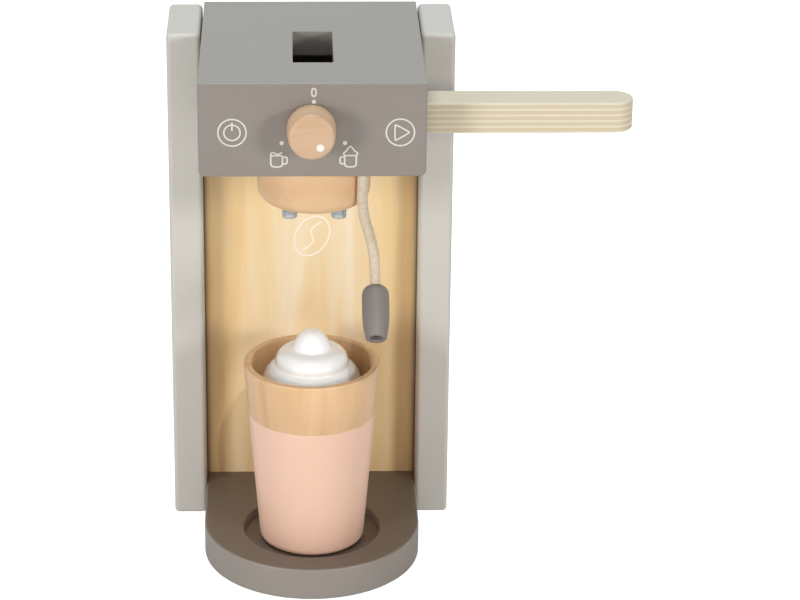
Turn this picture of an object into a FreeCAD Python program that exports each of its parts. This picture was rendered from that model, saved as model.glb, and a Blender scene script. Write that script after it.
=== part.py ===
import FreeCAD, Part
import math
import os

# Toy coffee maker in wood. Millimetres, +X to the viewer's right, +Y away from the viewer, +Z up.
# The origin is on the underside, midway between the side panels, in the plane of their front edges.

V = FreeCAD.Vector
UP = V(0, 0, 1)
AWAY = V(0, 1, 0)

# Body: two side boards, a base between them, a back board and a box-shaped head
inner_width = 107.0          # between the side panels
panel_thickness = 16.5
panel_depth = 51.0
panel_height = 258.0
panel_edge_r = 2.2
base_thickness = 16.5
base_front_y = -93.5         # the base's round front, a half circle as wide as the base
base_edge_r = 1.2
recess_r = 34.0
recess_depth = 4.5
recess_edge_r = 0.6
back_panel_thickness = 6.0
back_panel_y = 14.0          # its front face
groove_depth = 3.0           # the side panels' grooves that hold the back panel

# Head: boards glued to a box, just clear of each side panel
head_width = 105.6
head_front_y = -77.0
head_bottom_z = 213.3
head_top_z = 259.0
head_board = 12.0
head_front_board_thickness = 9.0
head_floor = 10.0
head_back_board_thickness = 10.0
head_edge_r = 0.9
head_corner_r = 3.0          # the front board's lower corners
pod_slot_width = 19.2
pod_slot_x = 0.6
pod_slot_front_y = -46.5
pod_slot_back_y = 1.2
pod_slot_corner_r = 0.8

# Brewing lever: a plywood bar, a dowel through the head's floor and the turned group head
lever_x = 1.0
lever_y = -45.4
lever_top_z = 241.5
lever_thickness = 15.0
lever_width = 18.8
lever_end_x = 151.3
lever_edge_r = 0.8
lever_swing = 12.0           # degrees each way
lever_gap = 0.6              # play in the side wall's slot
pivot_r = 5.0
pivot_depth = 14.0           # in the group head
running_gap = 0.05
washer_r = 12.0
group_head_r = 27.0
group_head_bottom_z = 190.8
group_head_gap = 0.3
group_head_lower_r = 7.0
group_head_upper_r = 1.0
spout_r = 3.7
spout_bore_r = 2.3
spout_lip_r = 0.8
spout_offset_x = 11.6
spout_y = -56.5
spout_bottom_z = 185.5
spout_seat = 7.0             # depth of a spout's seat in the group head

# Selector knob
knob_x = -0.5
knob_z = 237.8
knob_r = 11.45
knob_waist = 6.0             # the straight length at the board, before the slight taper
knob_face_r = 11.0
knob_length = 15.6
knob_gap = 0.4
knob_face_edge_r = 1.7
knob_screw_r = 2.0
knob_screw_depth = 9.0
knob_screw_head_r = 4.2
knob_screw_head = 2.6
knob_screw_head_edge_r = 1.2
knob_screw_slot = 1.1        # its depth and its width
knob_washer_r = 6.0
knob_washer_thickness = 1.0

# Milk frother: a stiff cotton rope that bends forward, with a wooden nozzle on its end
cord_r = 2.5
cord_exit = V(23.8, -64.6, 213.7)
cord_route = [
    cord_exit,
    V(23.7, -64.6, 206.1),
    V(23.4, -65.2, 197.5),
    V(24.3, -65.5, 188.7),
    V(26.9, -66.6, 180.4),
    V(29.0, -69.8, 172.6),
    V(29.5, -74.8, 165.4),
    V(29.5, -81.34, 159.512),
]
cord_bore_r = 3.0
cord_gap = 1.2               # between the swinging rope and the end that fills the bore
knot_r = 3.3
knot_sink = 0.8              # how far the knot sits in the bore's mouth
nozzle_lean = 48.0           # degrees forward from hanging straight down
nozzle_length = 26.7
nozzle_r = 6.5
nozzle_shoulder = 3.0        # length of the taper at the rope
nozzle_end_r = 5.9           # at the rope
nozzle_end_edge_r = 1.8
nozzle_tip_r = 5.1
nozzle_tip_taper = 9.0
nozzle_tip_edge_r = 0.7
nozzle_bore_r = 2.9
nozzle_bore_depth = 9.0

# Cup with its cream
cup_x = 0.0
cup_y = -46.5
cup_height = 94.2
cup_gap = 0.2
cup_top_r = 33.3
cup_bottom_r = 25.6
cup_wall = 3.7
cup_floor = 6.0
cup_foot_r = 2.2
cup_rim_r = 0.7
cup_floor_edge_r = 2.5
cream_gap = 0.35

# Cream, as (radius, height over the cup's rim): a dome that runs out straight, then two bulges
dome_arc = ((0, 16.8), (3.8, 15.78), (6.6, 13.0))
dome_foot = (9.9, 7.0)
upper_bulge = (dome_foot, (15.9, 4.6), (17.9, -1.4))
lower_bulge = (upper_bulge[2], (22.4, -5.0), (24.4, -12.8))
cream_crease_r = 1.6
cream_plug_r = cup_top_r - cup_wall - cream_gap - 1.8    # clears the cup's narrowing wall
cream_plug_shoulder = 1.0
cream_plug = (
    (cream_plug_r - cream_plug_shoulder, -13.8), (cream_plug_r, -15.3), (cream_plug_r, -21.8),
    (0, -21.8),
)

# Fixings
dowel_r = 4.0
dowel_in_panel = 12.0
dowel_in_base = 18.0
head_dowel_z = 237.0
screw_r = 1.75
screw_head_r = 3.5
screw_length = 26.0
screw_inset = 9.0            # the lower screws' height over the head's underside
screw_drop = 16.0            # the upper screws' depth under its top
cross_reach = 2.4            # a cross recess: half its length, half its width, its depth
cross_half = 0.5
cross_depth = 1.4

head_half = head_width / 2
head_back_y = panel_depth
front_back_y = head_front_y + head_front_board_thickness
back_board_y = head_back_y - head_back_board_thickness
wall_inner_x = head_half - head_board
floor_top_z = head_bottom_z + head_floor
roof_z = head_top_z - head_board
lever_bottom_z = lever_top_z - lever_thickness
group_head_top_z = head_bottom_z - group_head_gap
cup_bottom_z = base_thickness - recess_depth + cup_gap
cup_top_z = cup_bottom_z + cup_height


def box(low, high):
    """A box between its lowest and highest corners."""
    size = [b - a for a, b in zip(low, high)]
    return Part.makeBox(*size, V(*low))


def edges_where(shape, test):
    """The edges whose bounding box passes the test."""
    return [edge for edge in shape.Edges if test(edge.BoundBox)]


def turned(profile, centre):
    """A solid turned about the vertical line through centre, from (radius, z) points."""
    points = [V(r, 0, z) for r, z in profile]
    wire = Part.makePolygon(points + [points[0]])
    solid = Part.Face(wire).revolve(V(0, 0, 0), UP, 360)
    solid.translate(V(centre[0], centre[1], 0))
    return solid


def rod(radius, start, end):
    """A round bar from start to end."""
    along = end - start
    return Part.makeCylinder(radius, along.Length, start, along)


def rim_edges(shape, radius, z=None, y=None):
    """Full circles of a given radius, in a level plane at z or an upright one at y."""
    found = []
    for edge in shape.Edges:
        curve = edge.Curve
        if not isinstance(curve, Part.Circle) or abs(curve.Radius - radius) > 1e-4:
            continue
        if z is not None and abs(curve.Center.z - z) < 1e-4:
            found.append(edge)
        if y is not None and abs(curve.Center.y - y) < 1e-4:
            found.append(edge)
    return found


def dowel_lines(y_places, z, inner_x):
    """The (start, end) pairs of the dowels that reach from inner_x into the side panels."""
    outer_x = inner_width / 2 + dowel_in_panel
    return [(V(side * inner_x, y, z), V(side * outer_x, y, z))
            for side in (-1, 1) for y in y_places]


def group(lines, radius):
    return Part.makeCompound([rod(radius, start, end) for start, end in lines])


def screw_places():
    """The (x, z) places of the back board's screws, in the walls' ends."""
    x = wall_inner_x + head_board / 2
    return [(sx * x, z) for sx in (-1, 1)
            for z in (head_bottom_z + screw_inset, head_top_z - screw_drop)]


def screw_blank(x, z):
    """A countersunk wood screw without its drive, driven towards the viewer."""
    top = V(x, head_back_y, z)
    shank = rod(screw_r, top, top - AWAY * screw_length)
    return shank.fuse(Part.makeCone(screw_head_r, screw_r, screw_head_r - screw_r, top, -AWAY))


def back_board_screws():
    """The four screws with their cross recesses."""
    screws = []
    y = head_back_y
    for x, z in screw_places():
        screw = screw_blank(x, z)
        for a, b in ((cross_reach, cross_half), (cross_half, cross_reach)):
            screw = screw.cut(box((x - a, y - cross_depth, z - b), (x + a, y + 1, z + b)))
        screws.append(screw)
    return Part.makeCompound(screws)


base_dowels = dowel_lines((10.0, 40.0), base_thickness / 2, inner_width / 2 - dowel_in_base)
head_dowels = dowel_lines((10.0, 34.0), head_dowel_z, wall_inner_x)


def side_panel(side):
    """An upright board with all its edges rounded over and a groove for the back panel."""
    inner = inner_width / 2
    low_x, high_x = sorted((side * inner, side * (inner + panel_thickness)))
    board = box((low_x, 0, 0), (high_x, panel_depth, panel_height))
    board = board.makeFillet(panel_edge_r, board.Edges)
    reach_x = sorted((side * (inner - 1), side * (inner + groove_depth)))
    groove = box(
        (reach_x[0], back_panel_y, base_thickness),
        (reach_x[1], back_panel_y + back_panel_thickness, head_bottom_z),
    )
    board = board.cut(groove)
    for start, end in base_dowels + head_dowels:
        board = board.cut(rod(dowel_r, start, end))
    return board


def base_plate():
    """A board with a half-round front, and a shallow round recess that the cup stands in."""
    half = inner_width / 2
    centre_y = base_front_y + half
    corner = V(half, centre_y, 0)
    outline = Part.Wire([
        Part.Arc(corner, V(0, base_front_y, 0), V(-half, centre_y, 0)).toShape(),
        Part.LineSegment(V(-half, centre_y, 0), V(-half, panel_depth, 0)).toShape(),
        Part.LineSegment(V(-half, panel_depth, 0), V(half, panel_depth, 0)).toShape(),
        Part.LineSegment(V(half, panel_depth, 0), corner).toShape(),
    ])
    plate = Part.Face(outline).extrude(UP * base_thickness)
    level = edges_where(plate, lambda b: b.ZLength < 1e-6 and b.YMin < panel_depth - 1e-3)
    plate = plate.makeFillet(base_edge_r, level)
    floor_z = base_thickness - recess_depth
    plate = plate.cut(Part.makeCylinder(recess_r, recess_depth + 1, V(cup_x, cup_y, floor_z)))
    plate = plate.makeFillet(recess_edge_r, rim_edges(plate, recess_r, z=base_thickness))
    for start, end in base_dowels:
        plate = plate.cut(rod(dowel_r, start, end))
    return plate


def back_panel():
    half = inner_width / 2 + groove_depth
    return box(
        (-half, back_panel_y, base_thickness),
        (half, back_panel_y + back_panel_thickness, head_bottom_z),
    )


def head_front_board():
    """The head's face: rounded edges, two round lower corners and the bore for the knob's screw."""
    low = (-head_half, head_front_y, head_bottom_z)
    board = box(low, (head_half, front_back_y, head_top_z))
    corners = edges_where(board, lambda b: b.YLength > 1 and b.ZMax < head_bottom_z + 1)
    board = board.makeFillet(head_corner_r, corners)
    front = edges_where(board, lambda b: b.YMax < head_front_y + 1e-3)
    board = board.makeFillet(head_edge_r, front)
    bore = rod(
        knob_screw_r + running_gap,
        V(knob_x, head_front_y - 1, knob_z),
        V(knob_x, front_back_y + 1, knob_z),
    )
    return board.cut(bore)


def head_top_board():
    """The roof, with the pod slot through it."""
    board = box((-head_half, front_back_y, roof_z), (head_half, head_back_y, head_top_z))
    outer = edges_where(
        board, lambda b: b.ZMin > head_top_z - 1e-3 and b.YMax > front_back_y + 1
    )
    board = board.makeFillet(head_edge_r, outer)
    half = pod_slot_width / 2
    slot = box(
        (pod_slot_x - half, pod_slot_front_y, roof_z - 1),
        (pod_slot_x + half, pod_slot_back_y, head_top_z + 1),
    )
    slot = slot.makeFillet(pod_slot_corner_r, edges_where(slot, lambda b: b.ZLength > 1))
    return board.cut(slot)


def lever_slot_half():
    """Half the side wall's slot along Y: the bar's reach at the wall's outer face, and some play."""
    angle = math.radians(lever_swing)
    reach = (head_half - lever_x) * math.tan(angle) + lever_width / 2 / math.cos(angle)
    return reach + lever_gap


def head_wall(side):
    """A side board of the head. The right one has the slot that the lever swings in."""
    low_x, high_x = sorted((side * wall_inner_x, side * head_half))
    wall = box((low_x, front_back_y, head_bottom_z), (high_x, back_board_y, roof_z))
    outer = edges_where(
        wall, lambda b: b.ZMax < head_bottom_z + 1e-3 and b.YLength > 1
        and abs(abs(b.XMin) - head_half) < 1e-3
    )
    wall = wall.makeFillet(head_edge_r, outer)
    for start, end in head_dowels:
        wall = wall.cut(rod(dowel_r, start, end))
    if side > 0:
        half = lever_slot_half()
        wall = wall.cut(box(
            (low_x - 1, lever_y - half, lever_bottom_z - lever_gap),
            (high_x + 1, lever_y + half, lever_top_z + lever_gap),
        ))
    for x, z in screw_places():
        wall = wall.cut(screw_blank(x, z))
    return wall


def head_floor_board():
    """The floor between the walls, bored for the lever's dowel and the rope."""
    board = box(
        (-wall_inner_x, front_back_y, head_bottom_z),
        (wall_inner_x, back_board_y, floor_top_z),
    )
    low = head_bottom_z - 1
    board = board.cut(
        Part.makeCylinder(pivot_r + running_gap, head_floor + 2, V(lever_x, lever_y, low))
    )
    return board.cut(
        Part.makeCylinder(cord_bore_r, head_floor + 2, V(cord_exit.x, cord_exit.y, low))
    )


def head_back_board():
    """Closes the head from behind, under the roof, and takes the four screws."""
    board = box((-head_half, back_board_y, head_bottom_z), (head_half, head_back_y, roof_z))
    sides = edges_where(board, lambda b: b.YMin > head_back_y - 1e-3)
    board = board.makeFillet(head_edge_r, sides)
    for x, z in screw_places():
        board = board.cut(screw_blank(x, z))
    return board


def knob():
    """A turned knob, slightly narrower at its flat face, bored for its screw."""
    base_y = head_front_y - knob_gap
    face_y = head_front_y - knob_length
    at = V(knob_x, base_y, knob_z)
    cone = Part.makeCone(
        knob_r, knob_face_r, base_y - knob_waist - face_y, at - AWAY * knob_waist, -AWAY
    )
    body = Part.makeCylinder(knob_r, knob_waist, at, -AWAY).fuse(cone).removeSplitter()
    body = body.makeFillet(knob_face_edge_r, rim_edges(body, knob_face_r, y=face_y))
    return body.cut(rod(knob_screw_r, at, at - AWAY * knob_screw_depth))


def knob_washer():
    """The washer under the screw's head, behind the front board."""
    start = V(knob_x, front_back_y + running_gap, knob_z)
    end = start + AWAY * knob_washer_thickness
    return rod(knob_washer_r, start, end).cut(rod(knob_screw_r, start, end))


def knob_screw():
    """The screw that the knob turns on, with a slotted round head."""
    seat_y = front_back_y + running_gap + knob_washer_thickness
    seat = V(knob_x, seat_y, knob_z)
    tip = V(knob_x, head_front_y - knob_gap - knob_screw_depth, knob_z)
    head = rod(knob_screw_head_r, seat, seat + AWAY * knob_screw_head)
    head = head.makeFillet(
        knob_screw_head_edge_r, rim_edges(head, knob_screw_head_r, y=seat_y + knob_screw_head)
    )
    screw = head.fuse(rod(knob_screw_r, seat, tip))
    slot = box(
        (knob_x - knob_screw_head_r, seat_y + knob_screw_head - knob_screw_slot,
         knob_z - knob_screw_slot / 2),
        (knob_x + knob_screw_head_r, seat_y + knob_screw_head + 1, knob_z + knob_screw_slot / 2),
    )
    return screw.cut(slot)


def lever_handle():
    """A plywood bar with half-round ends, its long edges eased, bored for the dowel."""
    half = lever_width / 2
    near, far = lever_x, lever_end_x - half
    z = lever_bottom_z
    front, back = lever_y - half, lever_y + half
    outline = Part.Wire([
        Part.LineSegment(V(near, front, z), V(far, front, z)).toShape(),
        Part.Arc(V(far, front, z), V(lever_end_x, lever_y, z), V(far, back, z)).toShape(),
        Part.LineSegment(V(far, back, z), V(near, back, z)).toShape(),
        Part.Arc(V(near, back, z), V(near - half, lever_y, z), V(near, front, z)).toShape(),
    ])
    bar = Part.Face(outline).extrude(UP * lever_thickness)
    bar = bar.makeFillet(lever_edge_r, edges_where(bar, lambda b: b.ZLength < 1e-6))
    return bar.cut(rod(pivot_r, V(lever_x, lever_y, z - 1), V(lever_x, lever_y, lever_top_z + 1)))


def pivot_dowel():
    """The dowel that joins the lever to the group head, through the floor."""
    low = V(lever_x, lever_y, group_head_top_z - pivot_depth)
    return rod(pivot_r, low, V(lever_x, lever_y, lever_top_z))


def lever_washer():
    """A wooden ring that holds the lever off the floor."""
    low = V(lever_x, lever_y, floor_top_z + group_head_gap)
    high = V(lever_x, lever_y, lever_bottom_z)
    return rod(washer_r, low, high).cut(rod(pivot_r, low, high))


def group_head():
    """A turned disc below the head, with a wide round lower edge and seats for the two spouts."""
    at = V(lever_x, lever_y, group_head_bottom_z)
    height = group_head_top_z - group_head_bottom_z
    disc = Part.makeCylinder(group_head_r, height, at)
    disc = disc.makeFillet(
        group_head_lower_r, rim_edges(disc, group_head_r, z=group_head_bottom_z)
    )
    disc = disc.makeFillet(
        group_head_upper_r, rim_edges(disc, group_head_r, z=group_head_top_z)
    )
    disc = disc.cut(Part.makeCylinder(
        pivot_r, pivot_depth, V(lever_x, lever_y, group_head_top_z - pivot_depth)
    ))
    for side in (-1, 1):
        seat = V(lever_x + side * spout_offset_x, spout_y, group_head_bottom_z - 1)
        disc = disc.cut(Part.makeCylinder(spout_r, spout_seat + 1, seat))
    return disc


def spout(side):
    """A clear plastic tube pressed into the group head."""
    low = V(lever_x + side * spout_offset_x, spout_y, spout_bottom_z)
    high = V(low.x, low.y, group_head_bottom_z + spout_seat)
    tube = rod(spout_r, low, high)
    tube = tube.makeFillet(spout_lip_r, rim_edges(tube, spout_r, z=spout_bottom_z))
    return tube.cut(rod(spout_bore_r, low - UP, high + UP))


def cord_radii(points):
    """Each inner point's arc radius: 0.45 of the shorter run over the tangent of half the turn."""
    radii = []
    for a, b, c in zip(points, points[1:], points[2:]):
        turn = (b - a).getAngle(c - b)
        radii.append(0.45 * min((b - a).Length, (c - b).Length) / math.tan(turn / 2))
    return radii


def cord_tube(points, radius):
    """A tube along straight runs joined by tangent arcs. Returns it with its path's length."""
    edges = []
    last = points[0]
    radii = cord_radii(points)
    for (a, b, c), r in zip(zip(points, points[1:], points[2:]), radii):
        into, out = (b - a).normalize(), (c - b).normalize()
        turn = into.getAngle(out)
        back = r * math.tan(turn / 2)
        start, end = b - into * back, b + out * back
        to_centre = (out - into).normalize()
        centre = b + to_centre * (r / math.cos(turn / 2))
        edges.append(Part.LineSegment(last, start).toShape())
        edges.append(Part.Arc(start, centre - to_centre * r, end).toShape())
        last = end
    edges.append(Part.LineSegment(last, points[-1]).toShape())
    path = Part.Wire(edges)
    ring = Part.Wire([Part.Circle(points[0], points[1] - points[0], radius).toShape()])
    tube = path.makePipeShell([ring], True, False)
    return tube, path.Length


def frother_nozzle():
    """A turned nozzle, softly tapered at both ends and bored at its tip, leaning on the rope's end."""
    body = turned(
        [
            (0, 0), (nozzle_tip_r, 0), (nozzle_r, nozzle_tip_taper),
            (nozzle_r, nozzle_length - nozzle_shoulder), (nozzle_end_r, nozzle_length),
            (0, nozzle_length),
        ],
        (0, 0),
    )
    body = body.makeFillet(nozzle_tip_edge_r, rim_edges(body, nozzle_tip_r, z=0))
    body = body.makeFillet(nozzle_end_edge_r, rim_edges(body, nozzle_end_r, z=nozzle_length))
    body = body.cut(Part.makeCylinder(nozzle_bore_r, nozzle_bore_depth + 1, V(0, 0, -1)))
    body.translate(UP * -nozzle_length)
    body.rotate(V(0, 0, 0), V(1, 0, 0), -nozzle_lean)
    body.translate(cord_route[-1])
    return body


def cord_knot():
    """The rope's knot above the floor, with the end that fills the bore down to the hinge."""
    top = V(cord_exit.x, cord_exit.y, floor_top_z)
    stub = rod(cord_r, cord_exit + UP * cord_gap, top + UP * knot_r)
    knot = Part.makeSphere(knot_r, top + UP * (knot_r - knot_sink))
    knot = knot.cut(Part.makeCylinder(knot_r, knot_r, top - UP * knot_r))
    return knot.fuse(stub).removeSplitter()


def cup():
    """A turned cup with a straight taper, an eased rim and a rounded foot."""
    low, high = cup_bottom_z, cup_top_z
    slope = (cup_top_r - cup_bottom_r) / cup_height
    inner_low_r = cup_bottom_r + slope * cup_floor - cup_wall
    body = turned([(0, low), (cup_bottom_r, low), (cup_top_r, high), (0, high)], (cup_x, cup_y))
    body = body.makeFillet(cup_foot_r, rim_edges(body, cup_bottom_r, z=low))
    hollow = turned(
        [
            (0, low + cup_floor), (inner_low_r, low + cup_floor),
            (cup_top_r - cup_wall + slope, high + 1), (0, high + 1),
        ],
        (cup_x, cup_y),
    )
    hollow = hollow.makeFillet(cup_floor_edge_r, rim_edges(hollow, inner_low_r, z=low + cup_floor))
    body = body.cut(hollow)
    rim = [e for e in body.Edges if isinstance(e.Curve, Part.Circle)
           and abs(e.Curve.Center.z - high) < 1e-4]
    return body.makeFillet(cup_rim_r, rim)


def cream_top():
    """Whipped cream turned as one piece, on a plug that sits in the cup."""
    def place(point):
        return V(point[0], 0, cup_top_z + point[1])

    arcs = (dome_arc, upper_bulge, lower_bulge)
    edges = [Part.Arc(*[place(p) for p in arc]).toShape() for arc in arcs]
    edges.insert(1, Part.LineSegment(place(dome_arc[2]), place(dome_foot)).toShape())
    plug = (lower_bulge[2],) + cream_plug + (dome_arc[0],)
    for start, end in zip(plug, plug[1:]):
        edges.append(Part.LineSegment(place(start), place(end)).toShape())
    body = Part.Face(Part.Wire(edges)).revolve(V(0, 0, 0), UP, 360)
    crease_heights = (cup_top_z + dome_foot[1], cup_top_z + upper_bulge[2][1])
    creases = edges_where(body, lambda b: b.ZLength < 1e-4 and any(
        abs(b.ZMax - height) < 1e-3 for height in crease_heights
    ))
    body = body.makeFillet(cream_crease_r, creases)
    body.translate(V(cup_x, cup_y, 0))
    return body


cord, cord_length = cord_tube(cord_route, cord_r)

nodes = {
    "base_plate": base_plate(),
    "left_side_panel": side_panel(-1),
    "right_side_panel": side_panel(1),
    "back_panel": back_panel(),
    "head_front_board": head_front_board(),
    "head_top_board": head_top_board(),
    "head_left_wall": head_wall(-1),
    "head_right_wall": head_wall(1),
    "head_floor_board": head_floor_board(),
    "head_back_board": head_back_board(),
    "back_board_screws": back_board_screws(),
    "base_dowels": group(base_dowels, dowel_r),
    "head_dowels": group(head_dowels, dowel_r),
    "knob": knob(),
    "knob_washer": knob_washer(),
    "knob_screw": knob_screw(),
    "lever_handle": lever_handle(),
    "pivot_dowel": pivot_dowel(),
    "lever_washer": lever_washer(),
    "group_head": group_head(),
    "left_spout": spout(-1),
    "right_spout": spout(1),
    "cord_knot": cord_knot(),
    "frother_cord": cord,
    "frother_nozzle": frother_nozzle(),
    "cup": cup(),
    "cream_top": cream_top(),
}

os.makedirs("parts", exist_ok=True)
for name, shape in nodes.items():
    solids = len(shape.Solids)
    print(f"{name}: {solids} solid(s), {shape.Volume / 1000:.2f} cm3, valid {shape.isValid()}")
    shape.exportStep(f"parts/{name}.step")

print("cord radii", [round(r, 1) for r in cord_radii(cord_route)])
print("cord length", round(cord_length, 2), "volume", round(cord.Volume, 1),
      "section x length", round(math.pi * cord_r ** 2 * cord_length, 1))
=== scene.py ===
import math
import bmesh
import bpy
from mathutils import Matrix, Vector


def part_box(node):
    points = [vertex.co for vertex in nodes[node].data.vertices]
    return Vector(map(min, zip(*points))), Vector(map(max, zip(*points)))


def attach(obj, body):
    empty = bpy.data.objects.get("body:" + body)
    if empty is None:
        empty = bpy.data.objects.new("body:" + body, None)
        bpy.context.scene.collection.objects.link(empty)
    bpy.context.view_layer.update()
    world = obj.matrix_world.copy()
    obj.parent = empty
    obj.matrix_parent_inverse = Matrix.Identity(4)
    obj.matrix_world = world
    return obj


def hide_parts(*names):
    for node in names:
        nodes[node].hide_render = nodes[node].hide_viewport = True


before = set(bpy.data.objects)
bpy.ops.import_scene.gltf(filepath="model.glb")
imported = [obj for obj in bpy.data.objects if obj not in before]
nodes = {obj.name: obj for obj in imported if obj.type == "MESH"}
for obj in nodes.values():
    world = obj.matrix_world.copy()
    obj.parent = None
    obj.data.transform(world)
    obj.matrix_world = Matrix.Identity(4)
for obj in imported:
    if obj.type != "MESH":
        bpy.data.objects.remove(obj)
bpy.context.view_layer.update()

mm = 0.001
clearIor = 1.5       # refractive index of the paints and varnishes


def deselectAll():
    bpy.ops.object.select_all(action="DESELECT")


def selectOnly(piece):
    deselectAll()
    piece.select_set(True)
    bpy.context.view_layer.objects.active = piece


def applyPlace(piece):
    selectOnly(piece)
    bpy.ops.object.transform_apply(location=True, rotation=True, scale=True)


def applyModifiers(piece):
    selectOnly(piece)
    for modifier in list(piece.modifiers):
        bpy.ops.object.modifier_apply(modifier=modifier.name)


def middle(node):
    low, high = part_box(node)
    return (low + high) / 2


def report(stage):
    print("coffee maker:", stage)


# Colours and nodes

def linearColour(hexText):
    channels = [int(hexText[i:i + 2], 16) / 255 for i in (0, 2, 4)]
    return [c / 12.92 if c <= 0.04045 else ((c + 0.055) / 1.055) ** 2.4 for c in channels] + [1.0]


def newMaterial(name):
    material = bpy.data.materials.new(name)
    material.use_nodes = True
    material.node_tree.nodes.clear()
    return material


def addNode(material, kind, values=None, links=None, ramp=None, **settings):
    node = material.node_tree.nodes.new(kind)
    for key, value in settings.items():
        setattr(node, key, value)
    for key, value in (values or {}).items():
        node.inputs[key].default_value = value
    for key, source in (links or {}).items():
        material.node_tree.links.new(source, node.inputs[key])
    for index, (place, hexText) in enumerate(ramp or []):
        stops = node.color_ramp.elements
        stop = stops[index] if index < 2 else stops.new(place)
        stop.position = place
        stop.color = linearColour(hexText)
    return node


def noise(material, place, scale=1.0, detail=2.0, roughness=0.5, distortion=0.0):
    values = {"Scale": scale, "Detail": detail, "Roughness": roughness, "Distortion": distortion}
    return addNode(material, "ShaderNodeTexNoise", values, {"Vector": place}).outputs["Fac"]


def remap(material, value, span=(0.0, 1.0), to=(0.0, 1.0), clamp=True):
    values = {"From Min": span[0], "From Max": span[1], "To Min": to[0], "To Max": to[1]}
    return addNode(
        material, "ShaderNodeMapRange", values, {"Value": value}, clamp=clamp
    ).outputs["Result"]


def calculate(material, operation, *terms):
    # each term is a number or a node's output
    numbers = {i: term for i, term in enumerate(terms) if isinstance(term, float)}
    links = {i: term for i, term in enumerate(terms) if i not in numbers}
    return addNode(material, "ShaderNodeMath", numbers, links, operation=operation).outputs[0]


def mix(material, amount, low, high):
    # each colour is a hex text or a node's output
    sides = {6: low, 7: high}
    fixed = {key: linearColour(side) for key, side in sides.items() if isinstance(side, str)}
    links = {key: side for key, side in sides.items() if key not in fixed}
    return addNode(
        material, "ShaderNodeMix", fixed, {0: amount, **links}, data_type="RGBA"
    ).outputs[2]


def stretchedPlace(material, grainAxis, across, along, turn=(0, 0, 0), shift=(0, 0, 0)):
    # Object coordinates, one unit wide for each fibre across and each fibre's length along the grain
    place = addNode(material, "ShaderNodeTexCoord")
    scale = [1 / across] * 3
    scale["XYZ".index(grainAxis)] = 1 / along
    mapping = addNode(
        material, "ShaderNodeMapping", {"Scale": scale, "Rotation": turn, "Location": shift},
        {"Vector": place.outputs["Object"]},
    )
    return mapping.outputs["Vector"]


def finishMaterial(material, shader, height=None, depth=0.0):
    # depth is the relief in metres
    if height is not None:
        bump = addNode(
            material, "ShaderNodeBump", {"Strength": 1.0, "Distance": depth}, {"Height": height}
        )
        material.node_tree.links.new(bump.outputs["Normal"], shader.inputs["Normal"])
    addNode(material, "ShaderNodeOutputMaterial", links={"Surface": shader.outputs[0]})
    return material


# Satin acrylic paint, sprayed on sanded solid wood: an even colour with a soft sheen,
# under which the grain is only just felt
paint = {
    "grey": {"colour": "cfccc5", "shade": "cac6be"},
    "taupe": {"colour": "908882", "shade": "8b837b"},
    "base": {"colour": "98908a", "shade": "938b83", "top": "75685c"},
    "nozzle": {"colour": "7b736d", "shade": "766e67"},
    # the head's top board: the taupe made lighter and cooler, painted light from above
    "roof": {"colour": "9b9791", "shade": "96928b"},
    # the head's front board: its upward faces take a lighter tone, painted light
    "face": {"colour": "908882", "shade": "8b837b", "top": "98948e"},
    "fibre": 0.9 * mm,
    "fibreLength": 38 * mm,
    "mottle": 30 * mm,
    "grainDepth": 0.035 * mm,
    "roughness": (0.40, 0.50),
    "specular": 0.42,
    "upward": (0.55, 0.85),      # rise of the face's normal over which the upward tone takes over
}


def paintedBoard(name, tone, grainAxis):
    material = newMaterial(name)
    grainPlace = stretchedPlace(material, grainAxis, paint["fibre"], paint["fibreLength"])
    grain = noise(material, grainPlace, detail=4.0, roughness=0.55)
    cloudPlace = stretchedPlace(material, grainAxis, paint["mottle"], 2 * paint["mottle"])
    cloud = noise(material, cloudPlace)
    colour = mix(material, cloud, tone["colour"], tone["shade"])
    if "top" in tone:
        # a second tone on every face that looks up: painted light on the head's front board, a
        # darker top on the base
        surface = addNode(material, "ShaderNodeNewGeometry")
        facing = addNode(
            material, "ShaderNodeSeparateXYZ", links={"Vector": surface.outputs["Normal"]}
        )
        upward = remap(material, facing.outputs["Z"], paint["upward"])
        colour = mix(material, upward, colour, tone["top"])
    sheen = remap(material, grain, to=paint["roughness"])
    shader = addNode(
        material, "ShaderNodeBsdfPrincipled",
        {"IOR": clearIor, "Specular IOR Level": paint["specular"]},
        {"Base Color": colour, "Roughness": sheen},
    )
    return finishMaterial(material, shader, grain, paint["grainDepth"])


# Thin lime board with a clear satin varnish and soft upright figure. Painted shade makes it palest
# along the middle and darker and warmer towards both edges, and a painted shadow darkens the strip
# beside each groove
limeBoard = {
    "pale": "f4e3c4",
    "warm": "edcf9b",
    "dark": "deb67d",
    "figure": 14 * mm,
    "figureLength": 150 * mm,
    "tonePlaces": (0.30, 0.62, 1.0),
    "paintedShadeSpan": (12 * mm, 60 * mm),   # from the middle, where the painted edge shade starts and ends
    # how far the painted shade moves the tone: lighter along the middle, darker and warmer at the
    # edges
    "paintedEdgeShade": (-0.12, 0.36),
    "paintedGrooveShadow": "36281b",          # colour of the painted shadow on the strip beside each groove, then where it starts and ends
    "grooveShadowReach": (46.0 * mm, 53.4 * mm),
    "grooveShadowFalloff": 4.5,
    "fibre": 0.5 * mm,
    "fibreLength": 14 * mm,
    "pores": (0.58, 0.78),
    "poreShare": (0.0, 0.35),
    "roughness": 0.46,
    "relief": 0.02 * mm,
}


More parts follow.
